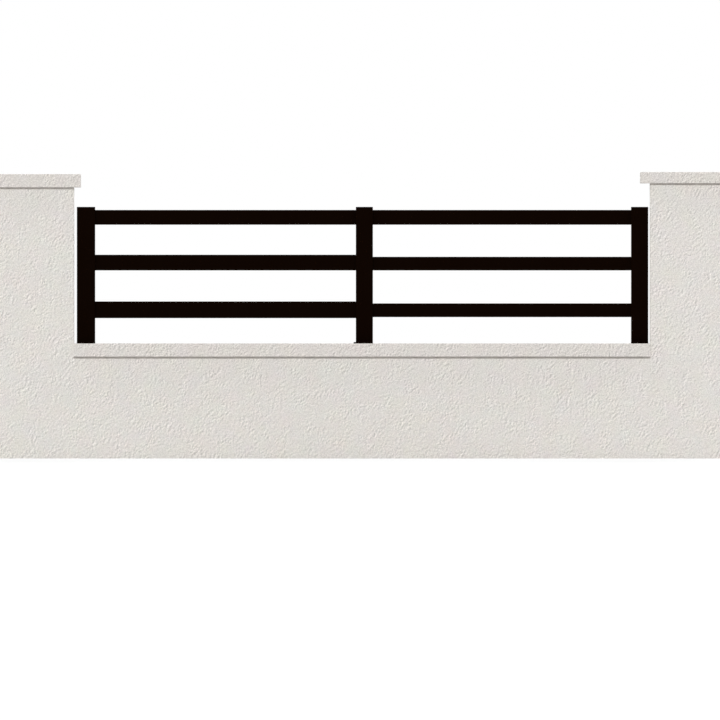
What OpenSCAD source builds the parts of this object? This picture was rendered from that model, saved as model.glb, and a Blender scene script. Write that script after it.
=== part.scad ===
// Three-rail slatted fence in hollow aluminium, standing on a low rendered wall
// between two rendered piers. Millimetres, X along the wall, Y to the back, Z up.
// The origin is on the ground, under the middle of the whole length.

/* [Low wall] */
// Clear width between the two piers, which is the length of the low wall
opening_w = 2535; // [1800:1:3600]
// Thickness of the low wall and of the piers, whose faces are flush
wall_depth = 240; // [180:1:340]
// Height of the low wall's body, from the ground to its mortar bed
wall_h = 439; // [250:1:900]
// Radius of the rendered outer corners
render_corner_r = 2; // [1:0.5:12]

/* [Coping and pier caps] */
// Thickness of the coping on the low wall
coping_t = 57.5; // [40:0.5:90]
// How far the coping and the caps stand out, front and back
coping_overhang = 25; // [20:1:50]
// Thickness of the left pier's cap
left_cap_t = 58; // [35:0.5:90]
// Thickness of the right pier's cap
right_cap_t = 49; // [35:0.5:90]
// How far the left cap stands out from its pier on each side
left_cap_overhang = 29.5; // [20:0.5:60]
// How far the right cap stands out from its pier on each side
right_cap_overhang = 42.5; // [20:0.5:60]
// Radius of the arrises on the coping and the caps
arris_r = 2; // [1:0.5:8]
// Width of the drip groove under each overhang
drip_w = 8; // [5:0.5:12]
// Depth of the drip groove
drip_depth = 5; // [3:0.5:12]

/* [Mortar beds] */
// Thickness of the mortar bed under the coping and under each cap
bed_t = 9; // [6:0.5:15]
// How far each bed is raked back from the masonry, front and back
bed_recess = 6; // [2:0.5:15]

/* [Piers] */
// Width of each pier along the wall
pier_w = 340; // [330:1:600]
// Height of the left pier's body above the coping's top
left_pier_rise = 678; // [620:0.5:1000]
// Height of the right pier's body above the coping's top
right_pier_rise = 696; // [620:0.5:1000]

/* [Posts] */
// Side of the square left post
left_post_w = 80; // [60:1:100]
// Side of the square middle and right posts
post_w = 75; // [60:1:100]
// Wall thickness of a post
post_wall = 2; // [1.5:0.1:4]
// Outer corner radius of a post
post_corner_r = 3; // [2.5:0.1:6]
// Height of the post's top above the coping, with its base plate and cap
post_h = 601; // [500:1:660]
// Gap between the left pier and the left post
left_post_gap = 13; // [3:0.5:60]
// Gap between the right post and the right pier
right_post_gap = 8; // [3:0.5:60]
// How far the middle post stands to the right of the opening's middle
middle_post_shift = 10.5; // [-200:0.5:200]

/* [Post caps] */
// Thickness of the post cap's plate
post_cap_t = 4; // [3:0.5:6]
// Radius of the cap plate's upper edges
post_cap_edge_r = 1.5; // [0.5:0.1:2]
// How far the cap's plug reaches down into the post
cap_plug_len = 16; // [8:1:40]
// Wall thickness of the cap's plug
cap_plug_wall = 2.5; // [1.5:0.1:5]
// Clearance between the plug and the post, each side
cap_plug_clearance = 0.3; // [0.1:0.1:0.8]

/* [Base plates] */
// Thickness of the base plate
plate_t = 6; // [4:0.5:12]
// How far the plate stands out from the post, front and back
plate_overhang = 42; // [34:1:70]
// How far the middle plate stands out from its post on the left
middle_plate_lip = 10; // [0:0.5:30]
// Corner radius of the plate
plate_corner_r = 8; // [2:0.5:14]
// Diameter of the anchor hole in the plate
anchor_hole_d = 10; // [7:0.5:12]
// Distance from the anchor hole's centre to the plate's end
anchor_edge = 20; // [14:0.5:24]
// Diameter of the drilled hole in the coping below each anchor hole
anchor_drill_d = 8; // [6:0.5:10]
// Coping left solid below each drilled hole
anchor_cover = 8; // [5:0.5:30]

/* [Slats] */
// Thickness of a slat from front to back
slat_depth = 25; // [18:0.5:40]
// Wall thickness of the hollow slat
slat_wall = 1.6; // [1.2:0.1:2.5]
// Outer corner radius of the slat
slat_corner_r = 2; // [1.5:0.1:4]
// Height of the two top slats
top_slat_h = 65; // [50:0.5:90]
// Height of the left bay's middle slat
left_middle_slat_h = 69; // [50:0.5:90]
// Height of the left bay's bottom slat
left_bottom_slat_h = 73.5; // [50:0.5:90]
// Height of the right bay's middle slat
right_middle_slat_h = 60; // [50:0.5:90]
// Height of the right bay's bottom slat
right_bottom_slat_h = 60.5; // [50:0.5:90]
// How far the top slats' upper faces lie below the posts' tops
top_slat_drop = 13.5; // [6:0.5:40]
// Height of the middle slats' undersides above the coping
middle_slat_z = 321.5; // [250:0.5:350]
// Height of the left bottom slat's underside above the coping
left_bottom_slat_z = 111.5; // [50:0.5:150]
// Height of the right bottom slat's underside above the coping
right_bottom_slat_z = 116; // [50:0.5:150]

/* [Slat end brackets] */
// Thickness of the bracket's flange, between the post and the slat's end
bracket_flange_t = 3; // [2:0.5:6]
// How far the bracket's spigot reaches into the slat
bracket_spigot_len = 36; // [20:1:80]
// Wall thickness of the spigot
bracket_spigot_wall = 2.5; // [1.5:0.1:4]
// Clearance between the spigot and the slat, each side
bracket_clearance = 0.3; // [0.1:0.1:0.8]
// Gap between the flange and the slat's end, for heat
slat_end_gap = 0.3; // [0.1:0.1:0.9]

/* [Hidden] */
$fn = 48;
// Overlap of a cutting tool past the face that it cuts
cut = 1;
// Smallest radius left inside a rounded hollow section
least_r = 0.4;
// Outer corner radius of the cap's plug and of the bracket's spigot
plug_corner_r = 1;

RENDER = "#DBD8D3";
COPING = "#D9D4CF";
MORTAR = "#D9D4CF";
DARK_COAT = "#0C0401";

// The caps stand out unequally, so the row moves to keep the origin in the middle
row_x = (left_cap_overhang - right_cap_overhang) / 2;

bed_z = wall_h;
coping_z = bed_z + bed_t;
coping_top = coping_z + coping_t;
coping_depth = wall_depth + 2 * coping_overhang;

left_pier_h = coping_top + left_pier_rise;
right_pier_h = coping_top + right_pier_rise;
pier_x = (opening_w + pier_w) / 2;

// Each post is [its centre, its side]
LEFT_POST = [left_post_gap + (left_post_w - opening_w) / 2, left_post_w];
MIDDLE_POST = [middle_post_shift, post_w];
RIGHT_POST = [(opening_w - post_w) / 2 - right_post_gap, post_w];

post_tube_z = coping_top + plate_t;
post_tube_h = post_h - plate_t - post_cap_t;
post_cap_z = post_tube_z + post_tube_h;

// Each slat is [underside above the coping, height]
TOP_SLAT = [post_h - top_slat_drop - top_slat_h, top_slat_h];
LEFT_MIDDLE_SLAT = [middle_slat_z, left_middle_slat_h];
LEFT_BOTTOM_SLAT = [left_bottom_slat_z, left_bottom_slat_h];
RIGHT_MIDDLE_SLAT = [middle_slat_z, right_middle_slat_h];
RIGHT_BOTTOM_SLAT = [right_bottom_slat_z, right_bottom_slat_h];

// Each bay is [its left post's inner face, its right post's inner face]
LEFT_BAY = [face_of(LEFT_POST, 1), face_of(MIDDLE_POST, -1)];
RIGHT_BAY = [face_of(MIDDLE_POST, 1), face_of(RIGHT_POST, -1)];

// Where a post's right face (side 1) or left face (side -1) stands
function face_of(post, side) = post[0] + side * post[1] / 2;

// Depth of the base plate under a post of side w
function plate_depth(w) = w + 2 * plate_overhang;

// How far the anchors under a post of side w stand in front of its middle and behind it
function anchor_y(w) = plate_depth(w) / 2 - anchor_edge;

// Rectangle about the middle with true round corners
module rounded_rect(w, h, r) {
    square([w - 2 * r, h], center = true);
    square([w, h - 2 * r], center = true);
    for (sx = [-1, 1])
        for (sy = [-1, 1])
            translate([sx * (w / 2 - r), sy * (h / 2 - r)])
                circle(r = r);
}

// Shapes a section drawn as [depth, height] and runs it along X, from its left end
module along_x(length) {
    rotate([90, 0, 90])
        linear_extrude(length)
            children();
}

// Puts a piece in the row, at its own x and height
module in_row(x, z) {
    translate([x + row_x, 0, z])
        children();
}

// Section of a pier beside the low wall: square corners on the wall's side (1 is the
// right, -1 the left), so that the faces run on flush, and round ones on the other
module flush_section(wall_side) {
    translate([wall_side * render_corner_r / 2, 0])
        square([pier_w - render_corner_r, wall_depth], center = true);
    translate([-wall_side * pier_w / 4, 0])
        square([pier_w / 2, wall_depth - 2 * render_corner_r], center = true);
    for (sy = [-1, 1])
        translate([
            -wall_side * (pier_w / 2 - render_corner_r),
            sy * (wall_depth / 2 - render_corner_r)
        ])
            circle(r = render_corner_r);
}

// Pier standing on z = 0, with all its corners rounded above the coping
module pier(h, wall_side) {
    linear_extrude(coping_top)
        flush_section(wall_side);
    translate([0, 0, coping_top])
        linear_extrude(h - coping_top)
            rounded_rect(pier_w, wall_depth, render_corner_r);
}

// Slab standing on z = 0, rounded along its arrises
module arris_slab(w, d, t) {
    intersection() {
        linear_extrude(t)
            rounded_rect(w, d, arris_r);
        translate([-w / 2, 0, t / 2])
            along_x(w)
                rounded_rect(d, t, arris_r);
        translate([0, d / 2, t / 2])
            rotate([90, 0, 0])
                linear_extrude(d)
                    rounded_rect(w, t, arris_r);
    }
}

// Pier cap as deep as the coping, with a drip groove right round under its overhang
module pier_cap(overhang, t) {
    w = pier_w + 2 * overhang;
    drip_x = w - overhang;
    drip_y = coping_depth - coping_overhang;
    difference() {
        arris_slab(w, coping_depth, t);
        translate([0, 0, -cut])
            linear_extrude(drip_depth + cut)
                difference() {
                    square([drip_x + drip_w, drip_y + drip_w], center = true);
                    square([drip_x - drip_w, drip_y - drip_w], center = true);
                }
    }
}

// Mortar bed under a cap
module cap_bed() {
    translate([0, 0, bed_t / 2])
        cube([pier_w, wall_depth - 2 * bed_recess, bed_t], center = true);
}

// Square hollow post of side w
module post_tube(w) {
    linear_extrude(post_tube_h)
        difference() {
            rounded_rect(w, w, post_corner_r);
            rounded_rect(w - 2 * post_wall, w - 2 * post_wall, max(post_corner_r - post_wall, least_r));
        }
}

// Cap of a post of side w: a plate with rounded upper edges over a hollow plug
module post_cap(w) {
    plug_w = w - 2 * post_wall - 2 * cap_plug_clearance;
    plug_hole_w = plug_w - 2 * cap_plug_wall;
    intersection() {
        linear_extrude(post_cap_t)
            rounded_rect(w, w, post_corner_r);
        translate([-w / 2, 0, 0])
            along_x(w)
                round_top(w, post_cap_t, post_cap_edge_r);
        translate([0, w / 2, 0])
            rotate([90, 0, 0])
                linear_extrude(w)
                    round_top(w, post_cap_t, post_cap_edge_r);
    }
    translate([0, 0, -cap_plug_len])
        linear_extrude(cap_plug_len)
            difference() {
                rounded_rect(plug_w, plug_w, plug_corner_r);
                square([plug_hole_w, plug_hole_w], center = true);
            }
}

// Low section standing on y = 0, with its two upper corners rounded
module round_top(w, h, r) {
    translate([-w / 2, 0])
        square([w, h - r]);
    translate([-w / 2 + r, 0])
        square([w - 2 * r, h]);
    for (sx = [-1, 1])
        translate([sx * (w / 2 - r), h - r])
            circle(r = r);
}

// Base plate as wide as its post of side w, or wider by a lip on its left, with one
// anchor hole in front and one behind
module base_plate(w, left_lip = 0) {
    difference() {
        translate([-left_lip / 2, 0, 0])
            linear_extrude(plate_t)
                rounded_rect(w + left_lip, plate_depth(w), plate_corner_r);
        for (sy = [-1, 1])
            translate([0, sy * anchor_y(w), -cut])
                cylinder(d = anchor_hole_d, h = plate_t + 2 * cut);
    }
}

// Hollow slat of one height, between the flanges of its two end brackets
module slat(bay, place) {
    x0 = bay[0] + bracket_flange_t + slat_end_gap;
    x1 = bay[1] - bracket_flange_t - slat_end_gap;
    h = place[1];
    in_row(x0, coping_top + place[0] + h / 2)
        along_x(x1 - x0)
            difference() {
                rounded_rect(slat_depth, h, slat_corner_r);
                rounded_rect(
                    slat_depth - 2 * slat_wall,
                    h - 2 * slat_wall,
                    max(slat_corner_r - slat_wall, least_r)
                );
            }
}

// End bracket: a flange on a post's face and a hollow spigot inside the slat.
// It is drawn for a slat's left end, and turned round for the right end.
module bracket(bay, place, turned) {
    h = place[1];
    spigot_d = slat_depth - 2 * slat_wall - 2 * bracket_clearance;
    spigot_h = h - 2 * slat_wall - 2 * bracket_clearance;
    in_row(turned ? bay[1] : bay[0], coping_top + place[0] + h / 2)
        rotate([0, 0, turned ? 180 : 0]) {
            along_x(bracket_flange_t)
                rounded_rect(slat_depth, h, slat_corner_r);
            translate([bracket_flange_t, 0, 0])
                along_x(slat_end_gap + bracket_spigot_len)
                    difference() {
                        rounded_rect(spigot_d, spigot_h, plug_corner_r);
                        square(
                            [spigot_d - 2 * bracket_spigot_wall, spigot_h - 2 * bracket_spigot_wall],
                            center = true
                        );
                    }
        }
}

// The low wall's ends butt against the piers, so only its faces show
module low_wall() {
    color(RENDER)
        in_row(-opening_w / 2, 0)
            translate([0, -wall_depth / 2, 0])
                cube([opening_w, wall_depth, wall_h]);
}

module coping_mortar_bed() {
    color(MORTAR)
        in_row(0, bed_z + bed_t / 2)
            cube([opening_w, wall_depth - 2 * bed_recess, bed_t], center = true);
}

// Coping with a drip groove under each overhang and the drilled anchor holes
module wall_coping() {
    hole_depth = coping_t - anchor_cover;
    color(COPING)
        in_row(0, coping_z)
            difference() {
                translate([-opening_w / 2, 0, coping_t / 2])
                    along_x(opening_w)
                        rounded_rect(coping_depth, coping_t, arris_r);
                for (sy = [-1, 1])
                    translate([0, sy * (coping_depth - coping_overhang) / 2, 0])
                        cube([opening_w + 2 * cut, drip_w, 2 * drip_depth], center = true);
                for (post = [LEFT_POST, MIDDLE_POST, RIGHT_POST])
                    for (sy = [-1, 1])
                        translate([post[0], sy * anchor_y(post[1]), coping_t - hole_depth])
                            cylinder(d = anchor_drill_d, h = hole_depth + cut);
            }
}

module left_pier() {
    color(RENDER)
        in_row(-pier_x, 0)
            pier(left_pier_h, 1);
}

module left_cap_mortar_bed() {
    color(MORTAR)
        in_row(-pier_x, left_pier_h)
            cap_bed();
}

module left_pier_cap() {
    color(COPING)
        in_row(-pier_x, left_pier_h + bed_t)
            pier_cap(left_cap_overhang, left_cap_t);
}

module right_pier() {
    color(RENDER)
        in_row(pier_x, 0)
            pier(right_pier_h, -1);
}

module right_cap_mortar_bed() {
    color(MORTAR)
        in_row(pier_x, right_pier_h)
            cap_bed();
}

module right_pier_cap() {
    color(COPING)
        in_row(pier_x, right_pier_h + bed_t)
            pier_cap(right_cap_overhang, right_cap_t);
}

module left_base_plate() {
    color(DARK_COAT)
        in_row(LEFT_POST[0], coping_top)
            base_plate(LEFT_POST[1]);
}

module left_post() {
    color(DARK_COAT)
        in_row(LEFT_POST[0], post_tube_z)
            post_tube(LEFT_POST[1]);
}

module left_post_cap() {
    color(DARK_COAT)
        in_row(LEFT_POST[0], post_cap_z)
            post_cap(LEFT_POST[1]);
}

module middle_base_plate() {
    color(DARK_COAT)
        in_row(MIDDLE_POST[0], coping_top)
            base_plate(MIDDLE_POST[1], middle_plate_lip);
}

module middle_post() {
    color(DARK_COAT)
        in_row(MIDDLE_POST[0], post_tube_z)
            post_tube(MIDDLE_POST[1]);
}

module middle_post_cap() {
    color(DARK_COAT)
        in_row(MIDDLE_POST[0], post_cap_z)
            post_cap(MIDDLE_POST[1]);
}

module right_base_plate() {
    color(DARK_COAT)
        in_row(RIGHT_POST[0], coping_top)
            base_plate(RIGHT_POST[1]);
}

module right_post() {
    color(DARK_COAT)
        in_row(RIGHT_POST[0], post_tube_z)
            post_tube(RIGHT_POST[1]);
}

module right_post_cap() {
    color(DARK_COAT)
        in_row(RIGHT_POST[0], post_cap_z)
            post_cap(RIGHT_POST[1]);
}

// The slats and their brackets share one rule: bay first, then the slat's place
module left_bay_top_slat() {
    color(DARK_COAT)
        slat(LEFT_BAY, TOP_SLAT);
}

module left_bay_top_slat_left_bracket() {
    color(DARK_COAT)
        bracket(LEFT_BAY, TOP_SLAT, false);
}

module left_bay_top_slat_right_bracket() {
    color(DARK_COAT)
        bracket(LEFT_BAY, TOP_SLAT, true);
}

module left_bay_middle_slat() {
    color(DARK_COAT)
        slat(LEFT_BAY, LEFT_MIDDLE_SLAT);
}

module left_bay_middle_slat_left_bracket() {
    color(DARK_COAT)
        bracket(LEFT_BAY, LEFT_MIDDLE_SLAT, false);
}

module left_bay_middle_slat_right_bracket() {
    color(DARK_COAT)
        bracket(LEFT_BAY, LEFT_MIDDLE_SLAT, true);
}

module left_bay_bottom_slat() {
    color(DARK_COAT)
        slat(LEFT_BAY, LEFT_BOTTOM_SLAT);
}

module left_bay_bottom_slat_left_bracket() {
    color(DARK_COAT)
        bracket(LEFT_BAY, LEFT_BOTTOM_SLAT, false);
}

module left_bay_bottom_slat_right_bracket() {
    color(DARK_COAT)
        bracket(LEFT_BAY, LEFT_BOTTOM_SLAT, true);
}

module right_bay_top_slat() {
    color(DARK_COAT)
        slat(RIGHT_BAY, TOP_SLAT);
}

module right_bay_top_slat_left_bracket() {
    color(DARK_COAT)
        bracket(RIGHT_BAY, TOP_SLAT, false);
}

module right_bay_top_slat_right_bracket() {
    color(DARK_COAT)
        bracket(RIGHT_BAY, TOP_SLAT, true);
}

module right_bay_middle_slat() {
    color(DARK_COAT)
        slat(RIGHT_BAY, RIGHT_MIDDLE_SLAT);
}

module right_bay_middle_slat_left_bracket() {
    color(DARK_COAT)
        bracket(RIGHT_BAY, RIGHT_MIDDLE_SLAT, false);
}

module right_bay_middle_slat_right_bracket() {
    color(DARK_COAT)
        bracket(RIGHT_BAY, RIGHT_MIDDLE_SLAT, true);
}

module right_bay_bottom_slat() {
    color(DARK_COAT)
        slat(RIGHT_BAY, RIGHT_BOTTOM_SLAT);
}

module right_bay_bottom_slat_left_bracket() {
    color(DARK_COAT)
        bracket(RIGHT_BAY, RIGHT_BOTTOM_SLAT, false);
}

module right_bay_bottom_slat_right_bracket() {
    color(DARK_COAT)
        bracket(RIGHT_BAY, RIGHT_BOTTOM_SLAT, true);
}

low_wall();
coping_mortar_bed();
wall_coping();
left_pier();
left_cap_mortar_bed();
left_pier_cap();
right_pier();
right_cap_mortar_bed();
right_pier_cap();
left_base_plate();
left_post();
left_post_cap();
middle_base_plate();
middle_post();
middle_post_cap();
right_base_plate();
right_post();
right_post_cap();
left_bay_top_slat();
left_bay_top_slat_left_bracket();
left_bay_top_slat_right_bracket();
left_bay_middle_slat();
left_bay_middle_slat_left_bracket();
left_bay_middle_slat_right_bracket();
left_bay_bottom_slat();
left_bay_bottom_slat_left_bracket();
left_bay_bottom_slat_right_bracket();
right_bay_top_slat();
right_bay_top_slat_left_bracket();
right_bay_top_slat_right_bracket();
right_bay_middle_slat();
right_bay_middle_slat_left_bracket();
right_bay_middle_slat_right_bracket();
right_bay_bottom_slat();
right_bay_bottom_slat_left_bracket();
right_bay_bottom_slat_right_bracket();
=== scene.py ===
"""Finishes, fixings and studio for a three-rail slatted fence on a rendered wall."""

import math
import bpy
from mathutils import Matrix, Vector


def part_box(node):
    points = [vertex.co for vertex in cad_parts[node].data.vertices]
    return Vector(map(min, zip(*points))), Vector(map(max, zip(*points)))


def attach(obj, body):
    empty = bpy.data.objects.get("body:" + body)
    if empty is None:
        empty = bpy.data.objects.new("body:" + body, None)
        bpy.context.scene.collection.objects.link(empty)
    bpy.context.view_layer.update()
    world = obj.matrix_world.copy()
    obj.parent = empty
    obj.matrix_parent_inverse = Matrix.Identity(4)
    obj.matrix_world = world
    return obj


bl_info = {
    "name": "Slatted fence on a low wall",
    "version": (1, 0, 0),
    "blender": (4, 5, 0),
    "location": "View3D > Sidebar > Fence",
    "description": "Finishes and small fixings for a fence between rendered piers",
    "category": "Object",
}

import bmesh
import bpy
from mathutils import Matrix, Vector

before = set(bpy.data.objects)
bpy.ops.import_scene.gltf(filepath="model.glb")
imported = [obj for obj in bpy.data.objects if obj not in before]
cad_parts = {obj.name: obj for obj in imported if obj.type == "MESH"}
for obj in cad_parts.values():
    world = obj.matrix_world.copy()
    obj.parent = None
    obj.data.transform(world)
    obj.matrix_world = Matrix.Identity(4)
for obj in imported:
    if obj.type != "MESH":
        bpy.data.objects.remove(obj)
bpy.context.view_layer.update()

# The picture is a flat elevation at one scale. The opening's middle is measured in
# its pixels from the left, and the ground from the top
PICTURE_PX = 720
METRES_PER_PX = 0.0044
OPENING_CENTRE_PX = 361.985
GROUND_PX = 458.37
# Millimetres, as the lens is
FILM_WIDTH = 36

RENDERED_NODES = ("low_wall", "left_pier", "right_pier")
COPING_NODES = ("wall_coping", "left_pier_cap", "right_pier_cap")
MORTAR_NODES = ("coping_mortar_bed", "left_cap_mortar_bed", "right_cap_mortar_bed")
POSTS = ("left", "middle", "right")
BAYS = ("left", "right")
PLACES = ("top", "middle", "bottom")

MM = 0.001
# The hand drags the float this way, which is a slope on every face
FLOAT_DRAG = Vector((0.75, 0.6, 1.3))
# Across the scores, the height this far on sets a painted highlight on one flank of
# each score and painted shade on the other
PAINTED_SHADE_SHIFT = Vector((3.5, 0, -2.2)) * MM
# How much paler the painted highlight and how much darker the painted shade on the
# scores' flanks are than the render
PAINTED_SHADE_CONTRAST = 0.225
# The painted light and shade on the scores is stronger and weaker in patches of this
# size
PAINTED_SHADE_PATCH = 55 * MM
WEAKEST_PAINTED_SHADE = 0.2
STRONGEST_PAINTED_SHADE = 2.0
# Red, green and blue drift apart over this length, by this share of the colour
PIGMENT_PATCH = 80 * MM
PIGMENT_DRIFT = 0.055
# Coarse sand in the render and the mortar
SAND_GRAIN = 5 * MM
# The powder coat's real grain is 0.3 mm; it is drawn at 2 mm so that it shows at all
COAT_GRAIN = 2 * MM
# Handling and rain leave the coat's sheen a little uneven over this length
SHEEN_PATCH = 120 * MM
# Nearly all of a noise lies in this span
NOISE_SPAN = {"From Min": 0.3, "From Max": 0.7}

# Facets of a fixing that meet at less than this are shaded as one curve
SMOOTH_ANGLE = math.radians(35)
FLOOR_COLOUR = "#D0D0D0"
# Metres, and the angle that a lamp fills, which makes its shadows soft
LAMP_DISTANCE = 8
LAMP_SOFTNESS = math.radians(18)


def linear_colour(hex_text):
    """Linear RGB of an sRGB colour written as #RRGGBB."""
    values = (int(hex_text[i : i + 2], 16) / 255 for i in (1, 3, 5))
    return tuple(
        v / 12.92 if v <= 0.04045 else ((v + 0.055) / 1.055) ** 2.4 for v in values
    )


def mm(value):
    """Metres from millimetres."""
    return value * MM


class FenceFinishSettings(bpy.types.PropertyGroup):
    """Colours and grain of the finishes."""

    render_colour: bpy.props.FloatVectorProperty(
        name="Render",
        description="Colour of the mineral render on the wall and piers",
        subtype="COLOR",
        size=3,
        min=0,
        max=1,
        default=linear_colour("#DBD7D2"),
    )
    coping_colour: bpy.props.FloatVectorProperty(
        name="Coping",
        description="Colour of the cast coping and pier caps",
        subtype="COLOR",
        size=3,
        min=0,
        max=1,
        default=linear_colour("#D6D1CC"),
    )
    mortar_colour: bpy.props.FloatVectorProperty(
        name="Mortar",
        description="Colour of the raked mortar beds",
        subtype="COLOR",
        size=3,
        min=0,
        max=1,
        default=linear_colour("#D9D4CF"),
    )
    coat_colour: bpy.props.FloatVectorProperty(
        name="Powder coat",
        description="Colour of the powder coat on the fence",
        subtype="COLOR",
        size=3,
        min=0,
        max=1,
        default=linear_colour("#0C0401"),
    )
    score_width: bpy.props.FloatProperty(
        name="Score width",
        description="Width of one float score in the render",
        unit="LENGTH",
        min=0.004,
        max=0.08,
        default=mm(9.5),
    )
    score_stretch: bpy.props.FloatProperty(
        name="Score stretch",
        description="How many times longer than wide a float score is",
        min=1,
        max=6,
        default=1.3,
    )
    score_depth: bpy.props.FloatProperty(
        name="Score depth",
        description="Depth of the float scores in the render",
        unit="LENGTH",
        min=0,
        max=0.01,
        default=mm(3),
    )


class FenceFixingSettings(bpy.types.PropertyGroup):
    """Sizes of the anchors, welds and screws."""

    anchor_edge: bpy.props.FloatProperty(
        name="Anchor edge",
        description="Distance from an anchor to the end of its base plate",
        unit="LENGTH",
        min=0.01,
        max=0.04,
        default=mm(20),
    )
    stud_diameter: bpy.props.FloatProperty(
        name="Anchor diameter",
        description="Diameter of the anchor stud",
        unit="LENGTH",
        min=0.004,
        max=0.012,
        default=mm(8),
    )
    thread_pitch: bpy.props.FloatProperty(
        name="Thread pitch",
        description="Distance between the anchor's threads",
        unit="LENGTH",
        min=0.0005,
        max=0.003,
        default=mm(1.25),
    )
    stud_rise: bpy.props.FloatProperty(
        name="Anchor end",
        description="How far the anchor stands out of its nut",
        unit="LENGTH",
        min=0.001,
        max=0.02,
        default=mm(5),
    )
    nut_width: bpy.props.FloatProperty(
        name="Nut width",
        description="Width of the anchor's nut across its flats",
        unit="LENGTH",
        min=0.006,
        max=0.02,
        default=mm(13),
    )
    nut_height: bpy.props.FloatProperty(
        name="Nut height",
        description="Height of the anchor's nut",
        unit="LENGTH",
        min=0.003,
        max=0.012,
        default=mm(6.5),
    )
    washer_diameter: bpy.props.FloatProperty(
        name="Washer diameter",
        description="Outer diameter of the washer",
        unit="LENGTH",
        min=0.01,
        max=0.03,
        default=mm(18),
    )
    washer_thickness: bpy.props.FloatProperty(
        name="Washer thickness",
        description="Thickness of the washer",
        unit="LENGTH",
        min=0.0005,
        max=0.004,
        default=mm(1.6),
    )
    weld_leg: bpy.props.FloatProperty(
        name="Weld leg",
        description="Leg of the fillet weld at the foot of each post",
        unit="LENGTH",
        min=0.001,
        max=0.01,
        default=mm(4),
    )
    weld_ripple: bpy.props.FloatProperty(
        name="Weld ripple",
        description="Length of one ripple in the weld",
        unit="LENGTH",
        min=0.001,
        max=0.01,
        default=mm(3),
    )
    screw_head: bpy.props.FloatProperty(
        name="Screw head",
        description="Diameter of the button head that holds a slat to its bracket",
        unit="LENGTH",
        min=0.004,
        max=0.016,
        default=mm(9.5),
    )
    screw_inset: bpy.props.FloatProperty(
        name="Screw inset",
        description="Distance from the slat's end to its screw",
        unit="LENGTH",
        min=0.01,
        max=0.04,
        default=mm(18),
    )


class FenceStageSettings(bpy.types.PropertyGroup):
    """Camera, floor and light."""

    lens: bpy.props.FloatProperty(
        name="Lens",
        description="Focal length, long enough for a flat elevation",
        subtype="DISTANCE_CAMERA",
        min=50,
        max=1500,
        default=1500,
    )
    floor_size: bpy.props.FloatProperty(
        name="Floor size",
        description="Side of the square floor",
        unit="LENGTH",
        min=4,
        max=400,
        default=260,
    )
    floor_glow: bpy.props.FloatProperty(
        name="Floor glow",
        description="What the floor's paint lacks of white where no shadow falls",
        min=0,
        max=1,
        default=0.27,
    )
    key_strength: bpy.props.FloatProperty(
        name="Key light",
        description="Strength of the light in front of the fence, a little to its left",
        min=0,
        max=10,
        default=1.64,
    )
    rear_strength: bpy.props.FloatProperty(
        name="Rear light",
        description="Strength of the light behind the fence, a little to its right",
        min=0,
        max=10,
        default=1.64,
    )
    side_strength: bpy.props.FloatProperty(
        name="Side lights",
        description="Strength of the two high lights on the ends",
        min=0,
        max=10,
        default=1.6,
    )
    ambient: bpy.props.FloatProperty(
        name="Ambient",
        description="Strength of the even light from all round",
        min=0,
        max=2,
        default=0.33,
    )


def add_node(tree, kind, inputs=None, **settings):
    """Adds a node, sets its options and sets or links its inputs."""
    node = tree.nodes.new(kind)
    for name, value in settings.items():
        setattr(node, name, value)
    for socket, value in (inputs or {}).items():
        if isinstance(value, bpy.types.NodeSocket):
            tree.links.new(value, node.inputs[socket])
        else:
            node.inputs[socket].default_value = value
    return node


def new_material(name):
    """An empty node material with its output, as (material, tree, output)."""
    material = bpy.data.materials.new(name)
    material.use_nodes = True
    tree = material.node_tree
    tree.nodes.clear()
    return material, tree, add_node(tree, "ShaderNodeOutputMaterial")


def seen_directly(tree):
    """1 where the camera, a reflection or clear glass looks, and 0 for other light."""
    rays = add_node(tree, "ShaderNodeLightPath")
    seen = add_node(
        tree,
        "ShaderNodeMath",
        {0: rays.outputs["Is Camera Ray"], 1: rays.outputs["Is Glossy Ray"]},
        operation="ADD",
    )
    return add_node(
        tree,
        "ShaderNodeMath",
        {0: seen.outputs["Value"], 1: rays.outputs["Is Transmission Ray"]},
        operation="ADD",
        use_clamp=True,
    ).outputs["Value"]


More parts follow.
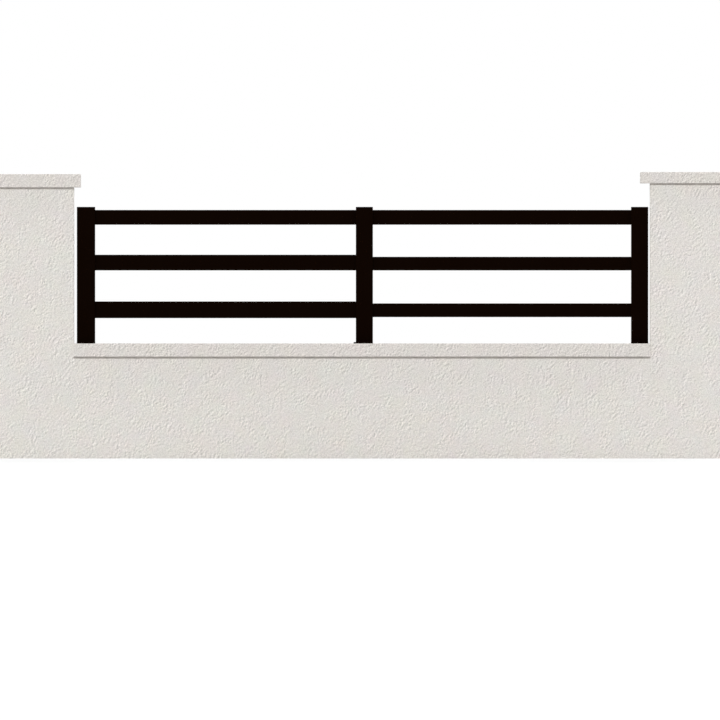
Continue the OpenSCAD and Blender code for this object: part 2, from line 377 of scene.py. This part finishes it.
def floated_render(name, colour, finish):
    """Mineral render, floated by hand while wet.

    The float drags the sand along a diagonal and leaves short shallow scores. Each
    score has a painted highlight on one flank and painted shade on the other, stronger
    in some patches than in others. The surface is matt, with grains of sand, and its
    pigment drifts a little between pink and green.
    """
    material, tree, output = new_material(name)
    place = add_node(tree, "ShaderNodeTexCoord").outputs["Object"]
    heights = []
    for shift in (Vector(), PAINTED_SHADE_SHIFT):
        dragged = add_node(
            tree,
            "ShaderNodeMapping",
            {
                "Vector": place,
                "Location": shift,
                "Rotation": FLOAT_DRAG.to_track_quat("Z", "Y").to_euler(),
                "Scale": (1, 1, finish.score_stretch),
            },
            vector_type="TEXTURE",
        ).outputs["Vector"]
        scores = add_node(
            tree,
            "ShaderNodeTexNoise",
            {
                "Vector": dragged,
                "Scale": 1 / finish.score_width,
                "Detail": 1.0,
                "Roughness": 0.5,
            },
        ).outputs["Fac"]
        height = add_node(tree, "ShaderNodeMapRange", {"Value": scores, **NOISE_SPAN})
        heights.append(height.outputs["Result"])
    relief, relief_beyond = heights
    bump = add_node(
        tree,
        "ShaderNodeBump",
        {"Height": relief, "Distance": finish.score_depth, "Strength": 1.0},
    ).outputs["Normal"]
    # A noise's colour is a different noise for each of red, green and blue
    pigment = add_node(
        tree,
        "ShaderNodeTexNoise",
        {"Vector": place, "Scale": 1 / PIGMENT_PATCH, "Detail": 1.0},
    ).outputs["Color"]
    drift = add_node(
        tree,
        "ShaderNodeVectorMath",
        {0: pigment, 1: (PIGMENT_DRIFT,) * 3, 2: (1 - PIGMENT_DRIFT / 2,) * 3},
        operation="MULTIPLY_ADD",
    ).outputs["Vector"]
    tinted = add_node(
        tree,
        "ShaderNodeVectorMath",
        {0: drift, 1: colour},
        operation="MULTIPLY",
    ).outputs["Vector"]
    # Painted light and shade: one flank of a score is painted paler and the other
    # darker, by how its height differs from the height a little way on
    painted_flank_shade = add_node(
        tree,
        "ShaderNodeMath",
        {0: relief, 1: relief_beyond},
        operation="SUBTRACT",
    ).outputs["Value"]
    # Patches where the painted light and shade of the scores is stronger or weaker
    painted_shade_patches = add_node(
        tree,
        "ShaderNodeTexNoise",
        {"Vector": place, "Scale": 1 / PAINTED_SHADE_PATCH, "Detail": 1.0},
    ).outputs["Fac"]
    # The middle of the noise, 0.5, comes out as 1, which leaves the painted light and
    # shade as it is
    painted_shade_strength = add_node(
        tree,
        "ShaderNodeMapRange",
        {
            "Value": painted_shade_patches,
            "From Min": 0.34,
            "From Max": 0.7,
            "To Min": WEAKEST_PAINTED_SHADE,
            "To Max": STRONGEST_PAINTED_SHADE,
        },
    ).outputs["Result"]
    varied_painted_flank_shade = add_node(
        tree,
        "ShaderNodeMath",
        {0: painted_flank_shade, 1: painted_shade_strength},
        operation="MULTIPLY",
    ).outputs["Value"]
    # Painted highlight on one flank of each score and painted shade on the other
    painted_light_and_shade = add_node(
        tree,
        "ShaderNodeMapRange",
        {
            "Value": varied_painted_flank_shade,
            "From Min": -1,
            "To Min": 1 - PAINTED_SHADE_CONTRAST,
            "To Max": 1 + PAINTED_SHADE_CONTRAST,
        },
    ).outputs["Result"]
    sand = add_node(
        tree,
        "ShaderNodeTexNoise",
        {"Vector": place, "Scale": 1 / SAND_GRAIN, "Detail": 0.0},
    ).outputs["Fac"]
    grains = add_node(
        tree,
        "ShaderNodeMapRange",
        {"Value": sand, **NOISE_SPAN, "To Min": 0.9, "To Max": 1.1},
    ).outputs["Result"]
    # The painted light and shade of the scores, times the grain of the sand
    shade = add_node(
        tree,
        "ShaderNodeMath",
        {0: painted_light_and_shade, 1: grains},
        operation="MULTIPLY",
    ).outputs["Value"]
    # The render's colour with the painted light and shade and the sand's grain in it
    colour_with_painted_shade = add_node(
        tree,
        "ShaderNodeVectorMath",
        {0: tinted, "Scale": shade},
        operation="SCALE",
    ).outputs["Vector"]
    shader = add_node(
        tree,
        "ShaderNodeBsdfPrincipled",
        {
            "Base Color": colour_with_painted_shade,
            "Normal": bump,
            "Roughness": 0.95,
            "Specular IOR Level": 0.2,
        },
    )
    tree.links.new(shader.outputs["BSDF"], output.inputs["Surface"])
    return material


def raked_mortar(name, colour):
    """Bedding mortar, raked back with a joint iron.

    It is matt, finely sanded and as pale as the coping.
    """
    material, tree, output = new_material(name)
    place = add_node(tree, "ShaderNodeTexCoord").outputs["Object"]
    sand = add_node(
        tree,
        "ShaderNodeTexNoise",
        {"Vector": place, "Scale": 1 / SAND_GRAIN, "Detail": 3.0, "Roughness": 0.65},
    ).outputs["Fac"]
    bump = add_node(
        tree,
        "ShaderNodeBump",
        {"Height": sand, "Distance": mm(0.8), "Strength": 1.0},
    ).outputs["Normal"]
    shade = add_node(
        tree,
        "ShaderNodeMapRange",
        {"Value": sand, **NOISE_SPAN, "To Min": 0.9, "To Max": 1.08},
    ).outputs["Result"]
    tone = add_node(
        tree,
        "ShaderNodeVectorMath",
        {0: colour, "Scale": shade},
        operation="SCALE",
    ).outputs["Vector"]
    shader = add_node(
        tree,
        "ShaderNodeBsdfPrincipled",
        {
            "Base Color": tone,
            "Normal": bump,
            "Roughness": 0.95,
            "Specular IOR Level": 0.2,
        },
    )
    tree.links.new(shader.outputs["BSDF"], output.inputs["Surface"])
    return material


def textured_powder_coat(name, colour):
    """Fine-textured polyester powder coat, baked on aluminium.

    It is a near black with a brown cast. The fine grain scatters what little it
    reflects, so flat faces stay dark and only edges and slopes show a soft sheen.
    """
    material, tree, output = new_material(name)
    place = add_node(tree, "ShaderNodeTexCoord").outputs["Object"]
    grain = add_node(
        tree,
        "ShaderNodeTexNoise",
        {"Vector": place, "Scale": 1 / COAT_GRAIN, "Detail": 2.0, "Roughness": 0.6},
    ).outputs["Fac"]
    bump = add_node(
        tree,
        "ShaderNodeBump",
        {"Height": grain, "Distance": mm(0.15), "Strength": 1.0},
    ).outputs["Normal"]
    wear = add_node(
        tree,
        "ShaderNodeTexNoise",
        {"Vector": place, "Scale": 1 / SHEEN_PATCH, "Detail": 3.0},
    ).outputs["Fac"]
    roughness = add_node(
        tree,
        "ShaderNodeMapRange",
        {"Value": wear, **NOISE_SPAN, "To Min": 0.5, "To Max": 0.62},
    ).outputs["Result"]
    shade = add_node(
        tree,
        "ShaderNodeMapRange",
        {"Value": grain, **NOISE_SPAN, "To Min": 0.8, "To Max": 1.2},
    ).outputs["Result"]
    tone = add_node(
        tree,
        "ShaderNodeVectorMath",
        {0: colour, "Scale": shade},
        operation="SCALE",
    ).outputs["Vector"]
    shader = add_node(
        tree,
        "ShaderNodeBsdfPrincipled",
        {
            "Base Color": tone,
            "Normal": bump,
            "Roughness": roughness,
            "Specular IOR Level": 0.005,
        },
    )
    tree.links.new(shader.outputs["BSDF"], output.inputs["Surface"])
    return material


def give(material, nodes):
    """Puts one material on all faces of the named CAD nodes."""
    for name in nodes:
        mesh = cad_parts[name].data
        mesh.materials.clear()
        mesh.materials.append(material)


def metal_nodes():
    """Names of all the aluminium nodes."""
    masonry = RENDERED_NODES + COPING_NODES + MORTAR_NODES
    return [name for name in sorted(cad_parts) if name not in masonry]


def coat():
    """The powder coat, made once and shared by the fence and its fixings."""
    return bpy.data.materials.get("fine_textured_powder_coat") or textured_powder_coat(
        "fine_textured_powder_coat", bpy.context.scene.fence_finish.coat_colour
    )


def deselect_all():
    """Leaves nothing selected, because an operator acts on all that is."""
    bpy.ops.object.select_all(action="DESELECT")


def select_only(*pieces):
    """Selects just these pieces and makes the first one active."""
    deselect_all()
    for piece in pieces:
        piece.select_set(True)
    bpy.context.view_layer.objects.active = pieces[0]


def apply_modifiers(piece):
    """Applies all of a piece's modifiers in order."""
    select_only(piece)
    for modifier in list(piece.modifiers):
        bpy.ops.object.modifier_apply(modifier=modifier.name)


def cut_with(piece, tool, operation):
    """Combines a piece with a tool by a boolean, and removes the tool."""
    modifier = piece.modifiers.new("cut", "BOOLEAN")
    modifier.operation = operation
    modifier.object = tool
    modifier.solver = "EXACT"
    apply_modifiers(piece)
    bpy.data.objects.remove(tool)


def select_faces(piece, test):
    """In edit mode, selects just the faces whose centre and normal pass the test."""
    mesh = bmesh.from_edit_mesh(piece.data)
    for face in mesh.faces:
        face.select_set(False)
    for face in mesh.faces:
        if test(face.calc_center_median(), face.normal):
            face.select_set(True)
    mesh.select_flush_mode()
    bmesh.update_edit_mesh(piece.data)


def joined(pieces, name):
    """One piece made of several."""
    select_only(*pieces)
    bpy.ops.object.join()
    piece = bpy.context.object
    piece.name = name
    piece.data.name = name
    return piece


def finish_piece(piece, material):
    """Settles a piece at the origin, smooths it, gives it its material and its body."""
    select_only(piece)
    bpy.ops.object.transform_apply(location=True, rotation=True, scale=True)
    bpy.ops.object.mode_set(mode="EDIT")
    bpy.ops.mesh.select_all(action="SELECT")
    bpy.ops.mesh.remove_doubles(threshold=1e-6)
    bpy.ops.mesh.normals_make_consistent(inside=False)
    bpy.ops.object.mode_set(mode="OBJECT")
    bpy.ops.object.shade_smooth_by_angle(angle=SMOOTH_ANGLE)
    piece.data.materials.clear()
    piece.data.materials.append(material)
    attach(piece, "root")


def copies(piece, places, name):
    """One piece made of a model's copies, one at each place, which is a matrix.

    The model itself is removed.
    """
    made = []
    for place in places:
        copy = piece.copy()
        copy.data = piece.data.copy()
        copy.data.transform(place)
        bpy.context.scene.collection.objects.link(copy)
        made.append(copy)
    bpy.data.objects.remove(piece)
    return joined(made, name)


def model_washer(sizes):
    """Flat washer standing on z = 0, with broken edges."""
    bore_clearance = mm(0.2)
    broken_edge = mm(0.25)
    bpy.ops.mesh.primitive_cylinder_add(
        vertices=40,
        radius=sizes.washer_diameter / 2,
        depth=sizes.washer_thickness,
        location=(0, 0, sizes.washer_thickness / 2),
    )
    washer = bpy.context.object
    bevel = washer.modifiers.new("edges", "BEVEL")
    bevel.width = broken_edge
    bevel.segments = 2
    bevel.limit_method = "ANGLE"
    apply_modifiers(washer)
    bpy.ops.mesh.primitive_cylinder_add(
        vertices=40,
        radius=sizes.stud_diameter / 2 + bore_clearance,
        depth=4 * sizes.washer_thickness,
    )
    cut_with(washer, bpy.context.object, "DIFFERENCE")
    return washer


def model_nut(sizes):
    """Hexagon nut standing on the washer, its corners turned off at both ends."""
    middle = sizes.washer_thickness + sizes.nut_height / 2
    corner = sizes.nut_width / math.sqrt(3)
    corner_turned_off = mm(1.2)
    bpy.ops.mesh.primitive_cylinder_add(
        vertices=6, radius=corner, depth=sizes.nut_height, location=(0, 0, middle)
    )
    nut = bpy.context.object
    bpy.ops.mesh.primitive_cylinder_add(
        vertices=48, radius=corner, depth=sizes.nut_height, location=(0, 0, middle)
    )
    turned = bpy.context.object
    chamfer = turned.modifiers.new("chamfer", "BEVEL")
    chamfer.width = corner_turned_off
    chamfer.segments = 1
    chamfer.limit_method = "ANGLE"
    apply_modifiers(turned)
    cut_with(nut, turned, "INTERSECT")
    return nut


def model_stud(sizes):
    """Threaded end of the anchor, grown ring by ring out of a disc in the washer."""
    root_to_crest = 0.85
    tip_to_root = 0.9
    nut_top = sizes.washer_thickness + sizes.nut_height
    first = nut_top - sizes.thread_pitch
    half = sizes.thread_pitch / 2
    bpy.ops.mesh.primitive_circle_add(
        vertices=24, radius=sizes.stud_diameter / 2, fill_type="NGON"
    )
    stud = bpy.context.object
    bpy.ops.object.mode_set(mode="EDIT")
    bpy.ops.mesh.select_all(action="SELECT")
    bpy.ops.mesh.extrude_region_move(TRANSFORM_OT_translate={"value": (0, 0, first)})
    rings = round((nut_top + sizes.stud_rise - first) / half) - 1
    to_root_and_crest = (root_to_crest, 1 / root_to_crest)
    steps = [to_root_and_crest[ring % 2] for ring in range(rings)] + [tip_to_root]
    for size in steps:
        bpy.ops.mesh.extrude_region_move(TRANSFORM_OT_translate={"value": (0, 0, half)})
        bpy.ops.transform.resize(value=(size, size, 1))
    bpy.ops.object.mode_set(mode="OBJECT")
    return stud


def model_weld(sizes, length):
    """Fillet weld along X in the corner of a face at y = 0 and a plate at z = 0."""
    trough_to_crest = 0.88
    end_to_middle = 0.7
    segments = max(2, round(length / sizes.weld_ripple)) * 2
    bpy.ops.mesh.primitive_cylinder_add(
        vertices=24,
        radius=sizes.weld_leg,
        depth=length,
        rotation=(0, math.radians(90), 0),
    )
    weld = bpy.context.object
    bpy.ops.object.transform_apply(location=False, rotation=True, scale=False)
    bpy.ops.object.mode_set(mode="EDIT")
    mesh = bmesh.from_edit_mesh(weld.data)
    for edge in mesh.edges:
        along = edge.verts[1].co - edge.verts[0].co
        edge.select_set(abs(along.x) > length / 2)
    bmesh.update_edit_mesh(weld.data)
    bpy.ops.mesh.subdivide(number_cuts=segments - 1)
    step = length / segments
    bpy.ops.mesh.select_mode(type="VERT")
    for ring in range(segments + 1):
        x = -length / 2 + ring * step
        mesh = bmesh.from_edit_mesh(weld.data)
        for vertex in mesh.verts:
            vertex.select_set(abs(vertex.co.x - x) < step / 4)
        mesh.select_flush_mode()
        bmesh.update_edit_mesh(weld.data)
        size = trough_to_crest if ring % 2 == 0 else 1.0
        if ring in (0, segments):
            size *= end_to_middle
        bpy.ops.transform.resize(value=(1, size, size), center_override=(x, 0, 0))
    for outwards in ((0, 1, 0), (0, 0, -1)):
        bpy.ops.mesh.select_all(action="SELECT")
        bpy.ops.mesh.bisect(
            plane_co=(0, 0, 0), plane_no=outwards, use_fill=True, clear_outer=True
        )
    bpy.ops.object.mode_set(mode="OBJECT")
    return weld


def model_screw(sizes):
    """Button-head screw on a face at y = 0, facing +Y, with a hexagon socket."""
    radius = sizes.screw_head / 2
    height = 0.55 * radius
    dome_height = 0.8 * height
    socket_radius = 0.42 * radius
    bpy.ops.mesh.primitive_cylinder_add(
        vertices=32, radius=radius, depth=height, location=(0, 0, height / 2)
    )
    screw = bpy.context.object
    dome = screw.modifiers.new("dome", "BEVEL")
    dome.width = dome_height
    dome.segments = 6
    dome.limit_method = "ANGLE"
    dome.profile = 0.6
    bpy.ops.object.mode_set(mode="EDIT")
    select_faces(screw, lambda centre, normal: normal.z < -0.5)
    bpy.ops.mesh.delete(type="ONLY_FACE")
    bpy.ops.object.mode_set(mode="OBJECT")
    apply_modifiers(screw)
    bpy.ops.object.mode_set(mode="EDIT")
    bpy.ops.mesh.select_all(action="SELECT")
    bpy.ops.mesh.fill_holes(sides=0)
    bpy.ops.object.mode_set(mode="OBJECT")
    bpy.ops.mesh.primitive_cylinder_add(
        vertices=6, radius=socket_radius, depth=height, location=(0, 0, height)
    )
    cut_with(screw, bpy.context.object, "DIFFERENCE")
    screw.data.transform(Matrix.Rotation(math.radians(-90), 4, "X"))
    return screw


class FENCE_OT_masonry_finish(bpy.types.Operator):
    """Render the wall and piers, and finish the coping, caps and mortar beds"""

    bl_idname = "fence.masonry_finish"
    bl_label = "Masonry finish"

    def execute(self, context):
        finish = context.scene.fence_finish
        wall = floated_render("floated_mineral_render", finish.render_colour, finish)
        coping = floated_render("floated_coping_render", finish.coping_colour, finish)
        mortar = raked_mortar("raked_bedding_mortar", finish.mortar_colour)
        give(wall, RENDERED_NODES)
        give(coping, COPING_NODES)
        give(mortar, MORTAR_NODES)
        return {"FINISHED"}


class FENCE_OT_metal_finish(bpy.types.Operator):
    """Powder-coat the posts, slats, brackets, caps and base plates"""

    bl_idname = "fence.metal_finish"
    bl_label = "Metal finish"

    def execute(self, context):
        give(coat(), metal_nodes())
        return {"FINISHED"}


class FENCE_OT_anchors(bpy.types.Operator):
    """Bolt each base plate down with an anchor, washer and nut in front and behind"""

    bl_idname = "fence.anchors"
    bl_label = "Base plate anchors"

    def execute(self, context):
        sizes = context.scene.fence_fixings
        deselect_all()
        parts = [model_washer(sizes), model_nut(sizes), model_stud(sizes)]
        anchor = joined(parts, "anchor")
        for post in POSTS:
            low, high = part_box(f"{post}_post")
            plate_low, plate_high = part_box(f"{post}_base_plate")
            x = (low.x + high.x) / 2
            ys = (plate_low.y + sizes.anchor_edge, plate_high.y - sizes.anchor_edge)
            places = [Matrix.Translation((x, y, plate_high.z)) for y in ys]
            model = anchor.copy()
            model.data = anchor.data.copy()
            context.scene.collection.objects.link(model)
            finish_piece(copies(model, places, f"{post}_post_anchors"), coat())
        bpy.data.objects.remove(anchor)
        return {"FINISHED"}


class FENCE_OT_welds(bpy.types.Operator):
    """Weld each post to its base plate, in front and behind"""

    bl_idname = "fence.welds"
    bl_label = "Foot welds"

    def execute(self, context):
        sizes = context.scene.fence_fixings
        end_gap = mm(3)
        for post in POSTS:
            low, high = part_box(f"{post}_post")
            deselect_all()
            weld = model_weld(sizes, high.x - low.x - 2 * end_gap)
            x = (low.x + high.x) / 2
            front = Matrix.Translation((x, low.y, low.z))
            rear = Matrix.Translation((x, high.y, low.z))
            rear @= Matrix.Rotation(math.pi, 4, "Z")
            finish_piece(copies(weld, [front, rear], f"{post}_post_foot_welds"), coat())
        return {"FINISHED"}


class FENCE_OT_slat_screws(bpy.types.Operator):
    """Screw each slat to its end brackets from behind"""

    bl_idname = "fence.slat_screws"
    bl_label = "Slat screws"

    def execute(self, context):
        sizes = context.scene.fence_fixings
        for bay in BAYS:
            places = []
            for place in PLACES:
                low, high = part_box(f"{bay}_bay_{place}_slat")
                z = (low.z + high.z) / 2
                for x in (low.x + sizes.screw_inset, high.x - sizes.screw_inset):
                    places.append(Matrix.Translation((x, high.y, z)))
            deselect_all()
            screws = copies(model_screw(sizes), places, f"{bay}_bay_slat_screws")
            finish_piece(screws, coat())
        return {"FINISHED"}


class FENCE_OT_stage(bpy.types.Operator):
    """Lay the floor, set the studio light and place the camera"""

    bl_idname = "fence.stage"
    bl_label = "Stage"

    def execute(self, context):
        stage = context.scene.fence_stage
        self.add_floor(stage)
        self.add_lights(stage)
        self.set_world(context.scene, stage)
        self.add_camera(context.scene, stage)
        context.scene.view_settings.view_transform = "Standard"
        return {"FINISHED"}

    def add_floor(self, stage):
        """A pale floor that the camera sees as white, with the fence's soft shadow."""
        deselect_all()
        bpy.ops.mesh.primitive_plane_add(size=stage.floor_size)
        floor = bpy.context.object
        floor.name = "floor"
        material, tree, output = new_material("matt_floor_paint")
        glow_strength = add_node(
            tree,
            "ShaderNodeMath",
            {0: seen_directly(tree), 1: stage.floor_glow},
            operation="MULTIPLY",
        ).outputs["Value"]
        paint = add_node(
            tree, "ShaderNodeBsdfDiffuse", {"Color": linear_colour(FLOOR_COLOUR) + (1,)}
        ).outputs["BSDF"]
        glow = add_node(
            tree, "ShaderNodeEmission", {"Strength": glow_strength}
        ).outputs["Emission"]
        both = add_node(tree, "ShaderNodeAddShader", {0: paint, 1: glow})
        tree.links.new(both.outputs["Shader"], output.inputs["Surface"])
        floor.data.materials.append(material)

    def add_lights(self, stage):
        """Four broad soft lights: in front, behind, and one high over each end."""
        towards = {
            "key_light": (Vector((-0.07, -0.92, 0.27)), stage.key_strength),
            "rear_light": (Vector((0.07, 0.92, 0.27)), stage.rear_strength),
            "left_light": (Vector((-0.8, 0, 0.6)), stage.side_strength),
            "right_light": (Vector((0.8, 0, 0.6)), stage.side_strength),
        }
        for name, (direction, strength) in towards.items():
            bpy.ops.object.light_add(type="SUN", location=direction * LAMP_DISTANCE)
            lamp = bpy.context.object
            lamp.name = name
            lamp.rotation_euler = direction.to_track_quat("Z", "Y").to_euler()
            lamp.data.energy = strength
            lamp.data.angle = LAMP_SOFTNESS

    def set_world(self, scene, stage):
        """Even light all round, and white wherever the camera or a reflection looks."""
        world = bpy.data.worlds.new("studio")
        world.use_nodes = True
        tree = world.node_tree
        tree.nodes.clear()
        white = (1, 1, 1, 1)
        soft, plain = (
            add_node(
                tree, "ShaderNodeBackground", {"Color": white, "Strength": strength}
            ).outputs["Background"]
            for strength in (stage.ambient, 1.0)
        )
        mix = add_node(
            tree, "ShaderNodeMixShader", {0: seen_directly(tree), 1: soft, 2: plain}
        ).outputs["Shader"]
        add_node(tree, "ShaderNodeOutputWorld", {"Surface": mix})
        scene.world = world

    def add_camera(self, scene, stage):
        """A long lens square to the fence, which gives a flat elevation."""
        opening_x = (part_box("left_pier")[1].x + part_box("right_pier")[0].x) / 2
        front_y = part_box("middle_post")[0].y
        eye_z = (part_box("low_wall")[1].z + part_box("left_pier")[1].z) / 2
        width = PICTURE_PX * METRES_PER_PX
        distance = stage.lens / FILM_WIDTH * width
        x = opening_x + (PICTURE_PX / 2 - OPENING_CENTRE_PX) * METRES_PER_PX
        z = (GROUND_PX - PICTURE_PX / 2) * METRES_PER_PX
        down = math.atan((eye_z - z) / distance)
        bpy.ops.object.camera_add(
            location=(x, front_y - distance, eye_z),
            rotation=(math.radians(90) - down, 0, 0),
        )
        camera = bpy.context.object
        camera.name = "elevation_camera"
        camera.data.lens = stage.lens
        camera.data.sensor_width = FILM_WIDTH
        camera.data.clip_start = 1
        camera.data.clip_end = 2 * distance
        scene.camera = camera


class FENCE_PT_panel(bpy.types.Panel):
    """Lists the steps that finish the fence"""

    bl_idname = "FENCE_PT_panel"
    bl_label = "Slatted fence"
    bl_space_type = "VIEW_3D"
    bl_region_type = "UI"
    bl_category = "Fence"

    def draw(self, context):
        for group in ("fence_finish", "fence_fixings", "fence_stage"):
            settings = getattr(context.scene, group)
            box = self.layout.box()
            for name in settings.__annotations__:
                box.prop(settings, name)
        for operator in OPERATORS:
            self.layout.operator(operator.bl_idname)


SETTINGS = (
    ("fence_finish", FenceFinishSettings),
    ("fence_fixings", FenceFixingSettings),
    ("fence_stage", FenceStageSettings),
)
OPERATORS = (
    FENCE_OT_masonry_finish,
    FENCE_OT_metal_finish,
    FENCE_OT_anchors,
    FENCE_OT_welds,
    FENCE_OT_slat_screws,
    FENCE_OT_stage,
)


def register():
    """Registers the settings, the operators and the panel."""
    for name, settings in SETTINGS:
        bpy.utils.register_class(settings)
        setattr(bpy.types.Scene, name, bpy.props.PointerProperty(type=settings))
    for operator in OPERATORS:
        bpy.utils.register_class(operator)
    bpy.utils.register_class(FENCE_PT_panel)


def unregister():
    """Removes the panel, the operators and the settings."""
    bpy.utils.unregister_class(FENCE_PT_panel)
    for operator in reversed(OPERATORS):
        bpy.utils.unregister_class(operator)
    for name, settings in reversed(SETTINGS):
        delattr(bpy.types.Scene, name)
        bpy.utils.unregister_class(settings)


def main():
    """Finishes the fence."""
    register()
    bpy.ops.fence.masonry_finish()
    bpy.ops.fence.metal_finish()
    bpy.ops.fence.anchors()
    bpy.ops.fence.welds()
    bpy.ops.fence.slat_screws()
    bpy.ops.fence.stage()


if __name__ == "__main__":
    main()
